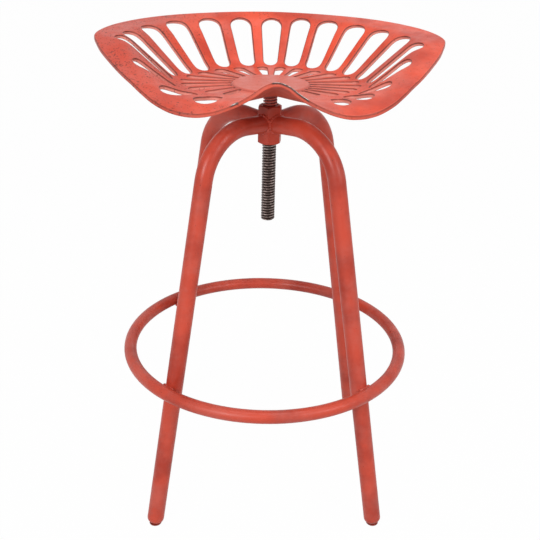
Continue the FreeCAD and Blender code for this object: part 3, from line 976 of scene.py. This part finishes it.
    def fill(self, loops: Sequence[np.ndarray], depth: float) -> Tuple[np.ndarray, np.ndarray]:
        """Triangulate one skin between the rim and the slots.

        Args:
            loops: Rings of the rim and the slots.
            depth: Depth of the skin under the upper surface.

        Returns:
            Its points and its triangles. The rings' points come first, in the order given.
        """
        bounds, edges = np.concatenate(loops), []
        base = 0
        for loop in loops:
            edges += [(base + i, base + (i + 1) % len(loop)) for i in range(len(loop))]
            base += len(loop)
        flat = np.concatenate([bounds[:, :2], self.grid(loops)])
        out = delaunay_2d_cdt([Vector(p) for p in flat], edges, [], 0, 1e-7)
        if len(out[0]) != len(flat):
            log.warning("skin has %d points where %d went in", len(out[0]), len(flat))
        new = np.array([tuple(v) for v in out[0]])
        tris = np.array([f for f in out[2] if len(f) == 3])
        tris = tris[self.clear(new[tris].mean(axis=1), loops)]
        z = self.skin.height(new[:, 0], new[:, 1])
        z = z - depth * self.skin.steepness(new[:, 0], new[:, 1])
        solid = np.column_stack([new, z])
        solid[: len(bounds)] = bounds
        return solid, tris

    def build(self) -> bpy.types.Object:
        """Join the skins and walls into one closed mesh.

        Returns:
            The seat's object.
        """
        edges = [self.rim_rings()] + self.slots()
        top, top_tris = self.fill([rings[0] for rings in edges], 0.0)
        bottom, bottom_tris = self.fill([rings[-1] for rings in edges], self.thickness)
        bare = np.zeros(len(top))
        bare[: edges[0].shape[1]] = self.wear_and_painted_light.section(edges[0][0], 0, True)["bare"]
        cast = CastMesh()
        top_base = cast.add(top, bare=bare)
        # The underside carries painted shade.
        bottom_base = cast.add(bottom, crevice=self.wear_and_painted_light.under_shade)
        cast.skin(top, top_tris, top_base, True)
        cast.skin(bottom, bottom_tris, bottom_base, False)
        first = 0
        for number, rings in enumerate(edges):
            rim = number == 0
            bases = [top_base + first]
            for level in range(1, len(rings) - 1):
                bases.append(cast.add(rings[level], **self.wear_and_painted_light.section(rings[level], level, rim)))
            bases.append(bottom_base + first)
            cast.wall(bases, rings[0][:, :2], rim)
            first += rings.shape[1]
        cloud = np.concatenate(cast.points)
        mesh = bpy.data.meshes.new("seat_casting")
        solid = (cloud + np.array([0, 0, self.datum])) / 1000
        mesh.from_pydata([tuple(p) for p in solid], [], cast.faces)
        mesh.update()
        masks = {name: np.concatenate(parts) for name, parts in cast.masks.items()}
        for name, values in self.wear_and_painted_light.layers(cloud, self.skin, masks).items():
            layer = mesh.attributes.new(name, "FLOAT", "POINT")
            layer.data.foreach_set("value", values.astype(np.float32))
        for polygon in mesh.polygons:
            polygon.use_smooth = True
        seat = bpy.data.objects.new("seat_casting", mesh)
        bpy.context.scene.collection.objects.link(seat)
        return seat

    def dress(self, seat: bpy.types.Object, paint: bpy.types.Material) -> None:
        """Give the seat its paint and tie it to its body.

        Args:
            seat: The seat's object.
            paint: The finish.
        """
        seat.data.materials.append(paint)
        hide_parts("seat_pan")
        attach(seat, Body.SEAT.value)


# Welds


class BeadTree:
    """Geometry node tree that runs a bead of fused blobs along every path, in millimetres."""

    stray: float = 0.4
    threshold: float = 0.1
    to_metres: float = 0.001

    def __init__(self) -> None:
        """Build the tree, with named inputs for its sizes."""
        self.tree = bpy.data.node_groups.new("weld_bead", "GeometryNodeTree")
        face = self.tree.interface
        kinds = {"Paths": "Geometry", "Bead Radius": "Float", "Ripple Pitch": "Float", "Unevenness": "Float",
                 "Voxel Size": "Float", "Seed": "Int", "Material": "Material"}
        for name, kind in kinds.items():
            face.new_socket(name, in_out="INPUT", socket_type="NodeSocket" + kind)
        face.new_socket("Beads", in_out="OUTPUT", socket_type="NodeSocketGeometry")
        given = self.tree.nodes.new("NodeGroupInput").outputs
        curve = self.add("GeometryNodeMeshToCurve", {"Mesh": given["Paths"]})
        even = self.add("GeometryNodeResampleCurve",
                        {"Curve": curve.outputs[0], "Length": given["Ripple Pitch"]}, mode="LENGTH")
        blobs = self.add("GeometryNodeCurveToPoints", {"Curve": even.outputs[0]}, mode="EVALUATED")
        drift = self.add("FunctionNodeRandomValue",
                         {0: (-self.stray,) * 3, 1: (self.stray,) * 3, "Seed": given["Seed"]},
                         data_type="FLOAT_VECTOR")
        place = self.add("GeometryNodeSetPosition",
                         {"Geometry": blobs.outputs[0], "Offset": drift.outputs[0]})
        cloud = self.add("GeometryNodePointsToVolume",
                         {"Points": place.outputs[0], "Voxel Size": given["Voxel Size"],
                          "Radius": self.spread(given)}, resolution_mode="VOXEL_SIZE")
        skin = self.add("GeometryNodeVolumeToMesh",
                        {"Volume": cloud.outputs[0], "Voxel Size": given["Voxel Size"],
                         "Threshold": self.threshold},
                        resolution_mode="VOXEL_SIZE")
        metres = self.add("GeometryNodeTransform",
                          {"Geometry": skin.outputs[0], "Scale": (self.to_metres,) * 3})
        smooth = self.add("GeometryNodeSetShadeSmooth", {"Geometry": metres.outputs[0]})
        real = self.add("GeometryNodeRealizeInstances", {"Geometry": smooth.outputs[0]})
        coat = self.add("GeometryNodeSetMaterial",
                        {"Geometry": real.outputs[0], "Material": given["Material"]})
        self.add("NodeGroupOutput", {"Beads": coat.outputs[0]})

    def add(self, kind: str, feeds: Dict[object, object], **settings: object) -> bpy.types.Node:
        """Add a node, set it and feed it.

        Args:
            kind: The node's type name.
            feeds: Sockets or values, by the input's name or number.
            **settings: Properties to set on it.

        Returns:
            The new node.
        """
        new = self.tree.nodes.new(kind)
        for key, value in settings.items():
            setattr(new, key, value)
        for key, value in feeds.items():
            if isinstance(value, bpy.types.NodeSocket):
                self.tree.links.new(value, new.inputs[key])
            else:
                new.inputs[key].default_value = value
        return new

    def spread(self, given: bpy.types.NodeOutputs) -> bpy.types.NodeSocket:
        """Radius of each blob, a little more or less than the bead's.

        Args:
            given: The tree's inputs.

        Returns:
            The radius's socket.
        """
        small = self.add("ShaderNodeMath", {0: 1.0, 1: given["Unevenness"]}, operation="SUBTRACT")
        large = self.add("ShaderNodeMath", {0: 1.0, 1: given["Unevenness"]}, operation="ADD")
        size = self.add("FunctionNodeRandomValue",
                        {2: small.outputs[0], 3: large.outputs[0], "Seed": given["Seed"]}, data_type="FLOAT")
        blob = self.add("ShaderNodeMath", {0: size.outputs[1], 1: given["Bead Radius"]}, operation="MULTIPLY")
        return blob.outputs[0]


@dataclass(frozen=True)
class WeldBeads:
    """Lumpy beads of weld that follow paths, as one mesh on one body. Sizes in millimetres."""

    name: str
    body: Body
    stands_for: Tuple[str, ...]
    bead: float
    seed: int = 7
    ripple: float = 1.9
    uneven: float = 0.26
    voxel: float = 0.55

    def build(self, paths: Sequence[np.ndarray], closed: bool, paint: bpy.types.Material) -> bpy.types.Object:
        """Run the beads along their paths and tie them to their body.

        Args:
            paths: Points of each path.
            closed: Whether each path returns to its start.
            paint: The finish.

        Returns:
            The beads' object.
        """
        points, edges = [], []
        for path in paths:
            base, count = len(points), len(path)
            points += [tuple(p) for p in path]
            edges += [(base + i, base + (i + 1) % count) for i in range(count if closed else count - 1)]
        mesh = bpy.data.meshes.new(self.name)
        mesh.from_pydata(points, edges, [])
        piece = bpy.data.objects.new(self.name, mesh)
        bpy.context.scene.collection.objects.link(piece)
        tree = BeadTree().tree
        modifier = piece.modifiers.new("beads", "NODES")
        modifier.node_group = tree
        values = {"Bead Radius": self.bead, "Ripple Pitch": self.ripple, "Unevenness": self.uneven,
                  "Voxel Size": self.voxel, "Seed": self.seed, "Material": paint}
        for socket in tree.interface.items_tree:
            if socket.name in values:
                modifier[socket.identifier] = values[socket.name]
        graph = bpy.context.evaluated_depsgraph_get()
        solid = bpy.data.meshes.new_from_object(piece.evaluated_get(graph))
        piece.modifiers.remove(modifier)
        piece.data = solid
        solid.name = self.name
        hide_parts(*self.stands_for)
        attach(piece, self.body.value)
        return piece


@dataclass(frozen=True)
class StandWelds:
    """Where the stand's and the seat's welds run. Sizes in millimetres."""

    corners: Tuple[str, ...] = ("front_left", "front_right", "rear_left", "rear_right")
    leg_azimuths: Tuple[float, ...] = (225.0, 315.0, 135.0, 45.0)
    leg_r: float = 12.5
    rise: float = 4.6
    splay: float = 11.6
    foot_radius: float = 235.0
    root_height: float = 578.0
    hub_flats: float = 31.0
    hub_turn: float = 291.0
    ring_r: float = 9.5
    ring_height: float = 224.0
    bar_half: float = 48.0
    bar_bottom: float = 623.0
    seam_points: int = 48
    arc_points: int = 17
    bar_points: int = 13
    seam_reach: float = 34.0
    seam_step: float = 0.2
    neighbour_play: float = 0.05
    ring_seam_height: float = 4.8
    ring_seam_half: float = 8.0
    screw_seam_r: float = 11.0
    screw_seam_drop: float = 1.9
    bar_seam_half: float = 12.0
    bar_seam_out: float = 1.0
    bar_seam_lift: float = 3.2

    def leg_axis(self, azimuth: float) -> np.ndarray:
        """Direction in which a leg leaves the hub."""
        a, e = math.radians(azimuth), math.radians(self.rise)
        return np.array([math.cos(a) * math.cos(e), math.sin(a) * math.cos(e), math.sin(e)])

    def hub_seams(self) -> List[np.ndarray]:
        """Seam round each leg's root, where it leaves the hub and its neighbours.

        Returns:
            One closed path a leg.
        """
        root = np.array([0, 0, self.root_height])
        normals = np.radians(self.hub_turn + 60 * np.arange(6))
        seams = []
        for azimuth in self.leg_azimuths:
            axis = self.leg_axis(azimuth)
            side = np.array([-axis[1], axis[0], 0]) / math.hypot(axis[0], axis[1])
            over = np.cross(axis, side)
            others = [self.leg_axis(azimuth + turn) for turn in (90, -90)]
            seam = []
            for turn in np.linspace(0, 2 * math.pi, self.seam_points, endpoint=False):
                start = root + self.leg_r * (math.cos(turn) * side + math.sin(turn) * over)
                line = start + np.arange(0, self.seam_reach, self.seam_step)[:, None] * axis
                reach = np.max(line[:, :1] * np.cos(normals) + line[:, 1:2] * np.sin(normals), axis=1)
                inside = reach < self.hub_flats / 2
                for other in others:
                    along = (line - root) @ other
                    away = np.linalg.norm(line - root - along[:, None] * other, axis=1)
                    inside |= (away < self.leg_r - self.neighbour_play) & (along > 0)
                seam.append(line[np.where(inside)[0][-1]])
            seams.append(np.array(seam))
        return seams

    def ring_seams(self) -> List[np.ndarray]:
        """Arcs over and under each place where a leg touches the foot rail.

        Returns:
            Two open paths a leg.
        """
        lean = math.radians(self.splay)
        centre = self.foot_radius - self.ring_height * math.tan(lean)
        centre += (self.leg_r + self.ring_r) / math.cos(lean)
        seams = []
        for azimuth in self.leg_azimuths:
            a = math.radians(azimuth)
            radial = np.array([math.cos(a), math.sin(a), 0])
            across = np.array([-math.sin(a), math.cos(a), 0])
            up = np.array([0, 0, math.cos(lean)]) - radial * math.sin(lean)
            out = radial * math.cos(lean) + np.array([0, 0, math.sin(lean)])
            touch = radial * centre + np.array([0, 0, self.ring_height]) - out * self.ring_r
            for height in (self.ring_seam_height, -self.ring_seam_height):
                arc = []
                for s in np.linspace(-self.ring_seam_half, self.ring_seam_half, self.arc_points):
                    gap = (height**2 / (2 * self.ring_r) - s**2 / (2 * self.leg_r)) / 2
                    arc.append(touch + across * s + up * height + out * gap)
                seams.append(np.array(arc))
        return seams

    def screw_seam(self) -> List[np.ndarray]:
        """Circle round the top of the screw, against the bar.

        Returns:
            One closed path.
        """
        turn = np.linspace(0, 2 * math.pi, self.seam_points, endpoint=False)
        z = np.full(self.seam_points, self.bar_bottom - self.screw_seam_drop)
        return [np.column_stack([self.screw_seam_r * np.cos(turn), self.screw_seam_r * np.sin(turn), z])]

    def bar_seams(self) -> List[np.ndarray]:
        """Line along either end of the bar, in the corner under the pan.

        Returns:
            Two open paths.
        """
        y = np.linspace(-self.bar_seam_half, self.bar_seam_half, self.bar_points)
        x = np.full(self.bar_points, self.bar_half + self.bar_seam_out)
        z = np.full(self.bar_points, self.bar_bottom + self.bar_seam_lift)
        return [np.column_stack([side * x, y, z]) for side in (-1, 1)]

    def build(self, paint: bpy.types.Material) -> List[bpy.types.Object]:
        """Build every bead.

        Args:
            paint: The finish.

        Returns:
            The beads' objects.
        """
        hubs = tuple("hub_weld_" + corner for corner in self.corners)
        rings = tuple("ring_weld_" + corner for corner in self.corners)
        hub = WeldBeads("hub_weld_beads", Body.STAND, hubs, 2.3)
        ring = WeldBeads("ring_weld_beads", Body.STAND, rings, 2.6, seed=11)
        screw = WeldBeads("screw_weld_bead", Body.COLLAR, ("screw_weld",), 1.9, seed=3)
        bar = WeldBeads("bar_weld_beads", Body.SEAT, ("seat_bar_welds",), 2.2, seed=5)
        return [hub.build(self.hub_seams(), True, paint), ring.build(self.ring_seams(), False, paint),
                screw.build(self.screw_seam(), True, paint), bar.build(self.bar_seams(), False, paint)]


# Studio


@dataclass(frozen=True)
class SoftLamp:
    """One square lamp. Metres and watts."""

    name: str
    place: Place
    aim: Place
    size: float
    power: float

    def build(self) -> None:
        """Put the lamp in the scene."""
        light = bpy.data.lights.new(self.name, "AREA")
        light.shape = "SQUARE"
        light.size = self.size
        light.energy = self.power
        lamp = bpy.data.objects.new(self.name, light)
        lamp.location = self.place
        lamp.rotation_euler = (Vector(self.aim) - Vector(self.place)).to_track_quat("-Z", "Y").to_euler()
        bpy.context.scene.collection.objects.link(lamp)


@dataclass
class Studio:
    """Floor, lights and the camera. Metres and radians."""

    lamps: Tuple[SoftLamp, ...] = (
        SoftLamp("key", (-1.3, -2.3, 1.6), (0, 0, 0.5), 1.0, 42),
        SoftLamp("fill", (1.7, -1.6, 1.7), (0, 0, 0.55), 1.0, 24),
        SoftLamp("top", (0.2, -0.3, 2.7), (0, 0, 0.5), 1.5, 18),
    )
    floor_half: float = 9.0
    floor_grey: float = 0.62
    floor_white: float = 0.985
    camera_place: Place = (-0.0376, -1.2041, 0.9059)
    heading: float = 0.0357
    tilt: float = 0.4334
    roll: float = 0.02443
    lens: float = 57.76
    sensor: float = 36.0
    view_end: float = 50.0
    world_strength: float = 0.38

    def white_for_view(self, tree: bpy.types.NodeTree, lit: bpy.types.NodeSocket,
                       share: float) -> bpy.types.NodeSocket:
        """Mix a lit shader with plain white where the camera or a reflection sees it.

        Args:
            tree: The material's or world's tree.
            lit: Shader for every other ray.
            share: How much of the white shows.

        Returns:
            The mixed shader's socket.
        """
        path = tree.nodes.new("ShaderNodeLightPath")
        seen = path.outputs["Is Camera Ray"]
        for name in ("Is Glossy Ray", "Is Transmission Ray"):
            both = tree.nodes.new("ShaderNodeMath")
            both.operation = "MAXIMUM"
            tree.links.new(seen, both.inputs[0])
            tree.links.new(path.outputs[name], both.inputs[1])
            seen = both.outputs[0]
        amount = tree.nodes.new("ShaderNodeMath")
        amount.operation = "MULTIPLY"
        tree.links.new(seen, amount.inputs[0])
        amount.inputs[1].default_value = share
        white = tree.nodes.new("ShaderNodeEmission" if share < 1 else "ShaderNodeBackground")
        white.inputs["Strength"].default_value = 1.0
        white.inputs["Color"].default_value = (1, 1, 1, 1)
        mix = tree.nodes.new("ShaderNodeMixShader")
        tree.links.new(amount.outputs[0], mix.inputs[0])
        tree.links.new(lit, mix.inputs[1])
        tree.links.new(white.outputs[0], mix.inputs[2])
        return mix.outputs[0]

    def floor(self) -> bpy.types.Object:
        """White floor, near to the photo's background. Its shadow is too faint to see.

        Returns:
            The floor's object.
        """
        mesh = bpy.data.meshes.new("floor")
        h = self.floor_half
        mesh.from_pydata([(-h, -h, 0), (h, -h, 0), (h, h, 0), (-h, h, 0)], [], [(0, 1, 2, 3)])
        plane = bpy.data.objects.new("floor", mesh)
        bpy.context.scene.collection.objects.link(plane)
        material = bpy.data.materials.new("studio_floor")
        material.use_nodes = True
        tree = material.node_tree
        tree.nodes.clear()
        diffuse = tree.nodes.new("ShaderNodeBsdfDiffuse")
        diffuse.inputs["Color"].default_value = (*(self.floor_grey,) * 3, 1)
        out = tree.nodes.new("ShaderNodeOutputMaterial")
        seen = self.white_for_view(tree, diffuse.outputs[0], self.floor_white)
        tree.links.new(seen, out.inputs["Surface"])
        mesh.materials.append(material)
        return plane

    def world(self) -> None:
        """Even light from all round, white where it is seen."""
        world = bpy.data.worlds.new("studio")
        bpy.context.scene.world = world
        world.use_nodes = True
        tree = world.node_tree
        tree.nodes.clear()
        soft = tree.nodes.new("ShaderNodeBackground")
        soft.inputs["Color"].default_value = (1, 1, 1, 1)
        soft.inputs["Strength"].default_value = self.world_strength
        out = tree.nodes.new("ShaderNodeOutputWorld")
        tree.links.new(self.white_for_view(tree, soft.outputs[0], 1.0), out.inputs["Surface"])

    def camera(self) -> None:
        """Camera at the photograph's place, with its tilt, heading and slight roll."""
        p, t, r = self.heading, self.tilt, self.roll
        forward = Vector((math.sin(p) * math.cos(t), math.cos(p) * math.cos(t), -math.sin(t)))
        right = Vector((math.cos(p), -math.sin(p), 0))
        up = right.cross(forward)
        x_axis = right * math.cos(r) + up * math.sin(r)
        y_axis = up * math.cos(r) - right * math.sin(r)
        data = bpy.data.cameras.new("camera")
        data.lens = self.lens
        data.sensor_width = self.sensor
        data.clip_end = self.view_end
        view = bpy.data.objects.new("camera", data)
        turn = Matrix((x_axis, y_axis, -forward)).transposed().to_4x4()
        view.matrix_world = Matrix.Translation(self.camera_place) @ turn
        bpy.context.scene.collection.objects.link(view)
        bpy.context.scene.camera = view

    def build(self) -> None:
        """Set up the whole studio."""
        self.floor()
        self.world()
        for lamp in self.lamps:
            lamp.build()
        self.camera()
        bpy.context.scene.view_settings.view_transform = "Standard"


def paint_nodes(names: Sequence[str], material: bpy.types.Material) -> None:
    """Give carried-over nodes a material.

    Args:
        names: The nodes.
        material: Their new material.
    """
    for name in names:
        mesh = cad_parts[name].data
        mesh.materials.clear()
        mesh.materials.append(material)


def main() -> None:
    """Build and dress the stool in the studio."""
    logging.basicConfig(level=logging.INFO, format="%(message)s")
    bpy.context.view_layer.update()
    frame_paint = FRAME_PAINT.material()
    seat = CastSeat()
    pan = seat.build()
    seat.dress(pan, SEAT_PAINT.material())
    log.info("seat: %d points, %d faces", len(pan.data.vertices), len(pan.data.polygons))
    for weld in StandWelds().build(frame_paint):
        log.info("%s: %d faces", weld.name, len(weld.data.polygons))
    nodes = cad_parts
    painted = ("leg_", "hub_", "ring_", "foot_", "screw_weld", "seat_bar")
    paint_nodes([n for n in nodes if n.startswith(painted)], frame_paint)
    paint_nodes(["lift_screw"], OiledThread().material())
    paint_nodes([n for n in nodes if n.startswith("glide_")], MouldedGlide().material())
    log.info("carried over: %d nodes painted", len(nodes))
    Studio().build()


if __name__ == "__main__":
    main()
